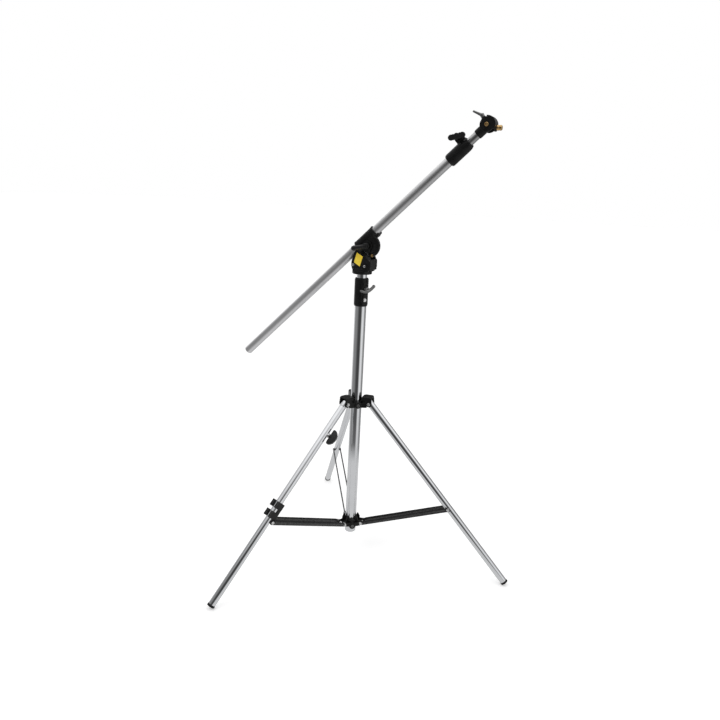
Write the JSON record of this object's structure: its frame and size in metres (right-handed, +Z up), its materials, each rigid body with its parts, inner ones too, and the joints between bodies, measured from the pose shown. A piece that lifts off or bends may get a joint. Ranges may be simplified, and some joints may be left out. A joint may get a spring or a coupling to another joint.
{
  "type": "combination boom stand",
  "caption": "Photographic light stand on a folding braced tripod with a levelling leg, a telescopic column, and a tilting telescopic boom ending in a swivelling spigot.",
  "frame": {"origin": "on the floor, on the column's axis, with the three feet around it", "axes": "+Z up the column; the boom lies in the X-Z plane and rises towards +X"},
  "size_m": [1.0728, 1.0374, 1.5802],
  "materials": {
    "chrome_tube": "bright chromed steel tube",
    "satin_tube": "satin drawn tube",
    "grey_plastic": "moulded",
    "nylon": "moulded",
    "black_casting": "semi-gloss black powder coat on cast metal",
    "black_plastic": "moulded, fine grain",
    "steel_fastener": "bright zinc plated",
    "zinc_lever": "bare die-cast zinc",
    "brass": "turned",
    "rubber": "matt moulded",
    "yellow_label": "plain printed film"
  },
  "bodies": {
    "root": {"column_tube": "chrome_tube", "column_plug": "grey_plastic", "hub_casting": "black_casting", "hub_set_screw": "steel_fastener", "hub_pivot_bolts": "steel_fastener", "brace_spacers": "steel_fastener", "riser_collar": "black_casting", "riser_collar_bolt": "steel_fastener"},
    "crown": {"crown_casting": "black_casting", "crown_pivot_bolts": "steel_fastener"},
    "crown_lock": {"crown_lock_screw": "steel_fastener"},
    "leg_right": {"leg_tube_right": "chrome_tube", "foot_right": "rubber"},
    "leg_rear": {"leg_tube_rear": "chrome_tube", "foot_rear": "rubber"},
    "leg_left_inner": {"levelling_rail": "chrome_tube", "levelling_guide": "black_casting", "guide_bolts": "steel_fastener"},
    "leg_left_outer": {"leg_tube_left": "chrome_tube", "foot_left": "rubber", "levelling_boss": "steel_fastener"},
    "levelling_lock": {"levelling_knob": "black_plastic"},
    "brace_right_link": {"brace_right": "black_casting", "brace_rivets_right": "steel_fastener"},
    "brace_rear_link": {"brace_rear": "black_casting", "brace_rivets_rear": "steel_fastener"},
    "brace_left_link": {"brace_left": "black_casting", "brace_rivets_left": "steel_fastener"},
    "riser_clamp": {"riser_clamp_screw": "steel_fastener", "riser_clamp_handle": "zinc_lever"},
    "riser_carrier": {"riser_bush": "nylon"},
    "head": {"riser_tube": "chrome_tube", "yoke": "black_casting", "yoke_screws": "steel_fastener", "rating_label": "yellow_label", "tilt_bolt": "steel_fastener", "friction_discs": "brass"},
    "tilt_lever": {"tilt_handle": "black_plastic"},
    "boom_head": {"boom_sleeve": "black_casting", "drum_pin": "brass"},
    "boom_lock": {"boom_lock_knob": "black_plastic"},
    "boom": {"boom_tube": "satin_tube", "boom_end_cap": "grey_plastic", "boom_collar": "black_casting", "extension_clamp_nut": "steel_fastener"},
    "extension_lock": {"extension_knob": "black_plastic"},
    "extension": {"extension_bush": "nylon", "extension_tube": "chrome_tube", "tip_barrel": "black_casting"},
    "tip": {"tip_bolt": "brass", "spigot_holder": "black_casting", "spigot": "brass"},
    "tip_lock": {"spigot_lever": "zinc_lever"}
  },
  "joints": [
    {"name": "crown_slide", "type": "slide", "parent": "root", "child": "crown", "axis": [0, 0, 1], "range_m": [0, 0.3399]},
    {"name": "crown_lock_turn", "type": "hinge", "parent": "crown", "child": "crown_lock", "pos_m": [0.02351, -0.03236, 0.596], "axis": [0.5878, -0.809, 0], "range_deg": [0, 180]},
    {"name": "leg_right_fold", "type": "hinge", "parent": "crown", "child": "leg_right", "pos_m": [0.05271, 0.00554, 0.601], "axis": [-0.1045, 0.9945, 0], "range_deg": [0, 42.3]},
    {"name": "leg_rear_fold", "type": "hinge", "parent": "crown", "child": "leg_rear", "pos_m": [-0.03115, 0.04288, 0.601], "axis": [-0.809, -0.5878, 0], "range_deg": [0, 42.3]},
    {"name": "leg_left_fold", "type": "hinge", "parent": "crown", "child": "leg_left_inner", "pos_m": [-0.02156, -0.04842, 0.601], "axis": [0.9135, -0.4067, 0], "range_deg": [0, 42.3]},
    {"name": "levelling_slide", "type": "slide", "parent": "leg_left_inner", "child": "leg_left_outer", "axis": [0.273, 0.6131, 0.7414], "range_m": [-0.15, 0]},
    {"name": "levelling_knob_turn", "type": "hinge", "parent": "leg_left_outer", "child": "levelling_lock", "pos_m": [-0.05622, -0.12628, 0.50684], "axis": [0.9419, -0.0136, -0.3355], "range_deg": [0, 180]},
    {"name": "brace_right_fold", "type": "hinge", "parent": "root", "child": "brace_right_link", "pos_m": [0.04575, 0.00481, 0.126], "axis": [0.1045, -0.9945, 0], "range_deg": [0, 67.5]},
    {"name": "brace_rear_fold", "type": "hinge", "parent": "root", "child": "brace_rear_link", "pos_m": [-0.02704, 0.03721, 0.126], "axis": [0.809, 0.5878, 0], "range_deg": [0, 67.5]},
    {"name": "brace_left_fold", "type": "hinge", "parent": "root", "child": "brace_left_link", "pos_m": [-0.01871, -0.04202, 0.126], "axis": [-0.9135, 0.4067, 0], "range_deg": [0, 70.6]},
    {"name": "riser_clamp_turn", "type": "hinge", "parent": "root", "child": "riser_clamp", "pos_m": [0.02427, -0.01763, 1.012], "axis": [0.809, -0.5878, 0], "range_deg": [0, 180]},
    {"name": "riser_slide", "type": "slide", "parent": "root", "child": "riser_carrier", "axis": [0, 0, 1], "range_m": [0, 0.4]},
    {"name": "riser_pan", "type": "hinge", "parent": "riser_carrier", "child": "head", "pos_m": [0, 0, 1], "axis": [0, 0, 1], "continuous": true},
    {"name": "tilt_handle_turn", "type": "hinge", "parent": "head", "child": "tilt_lever", "pos_m": [0.024, -0.04, 1.15675], "axis": [0, -1, 0], "range_deg": [-60, 60]},
    {"name": "head_tilt", "type": "hinge", "parent": "head", "child": "boom_head", "pos_m": [0.024, 0, 1.15675], "axis": [0, -1, 0], "range_deg": [-74, 16]},
    {"name": "boom_lock_turn", "type": "hinge", "parent": "boom_head", "child": "boom_lock", "pos_m": [0.03612, 0.03, 1.20158], "axis": [0, 1, 0], "range_deg": [0, 180]},
    {"name": "boom_slide", "type": "slide", "parent": "boom_head", "child": "boom", "axis": [0.7224, 0, 0.6915], "range_m": [-0.3, 0.55]},
    {"name": "extension_knob_turn", "type": "hinge", "parent": "boom", "child": "extension_lock", "pos_m": [0.30228, -0.02, 1.50343], "axis": [0, -1, 0], "range_deg": [0, 180]},
    {"name": "extension_slide", "type": "slide", "parent": "boom", "child": "extension", "axis": [0.7224, 0, 0.6915], "range_m": [0, 0.23]},
    {"name": "tip_tilt", "type": "hinge", "parent": "extension", "child": "tip", "pos_m": [0.38791, 0, 1.53834], "axis": [0, -1, 0], "range_deg": [-40, 28]},
    {"name": "tip_lever_turn", "type": "hinge", "parent": "tip", "child": "tip_lock", "pos_m": [0.36954, 0, 1.56206], "axis": [-0.6122, 0, 0.7907], "range_deg": [0, 120]}
  ],
  "couplings": [
    {"joint": "leg_right_fold", "follows": "crown_slide", "rad_per_m": 2.1643},
    {"joint": "leg_rear_fold", "follows": "crown_slide", "rad_per_m": 2.1643},
    {"joint": "leg_left_fold", "follows": "crown_slide", "rad_per_m": 2.1643},
    {"joint": "brace_right_fold", "follows": "crown_slide", "rad_per_m": 3.4535},
    {"joint": "brace_rear_fold", "follows": "crown_slide", "rad_per_m": 3.4535},
    {"joint": "brace_left_fold", "follows": "crown_slide", "rad_per_m": 3.6123}
  ]
}
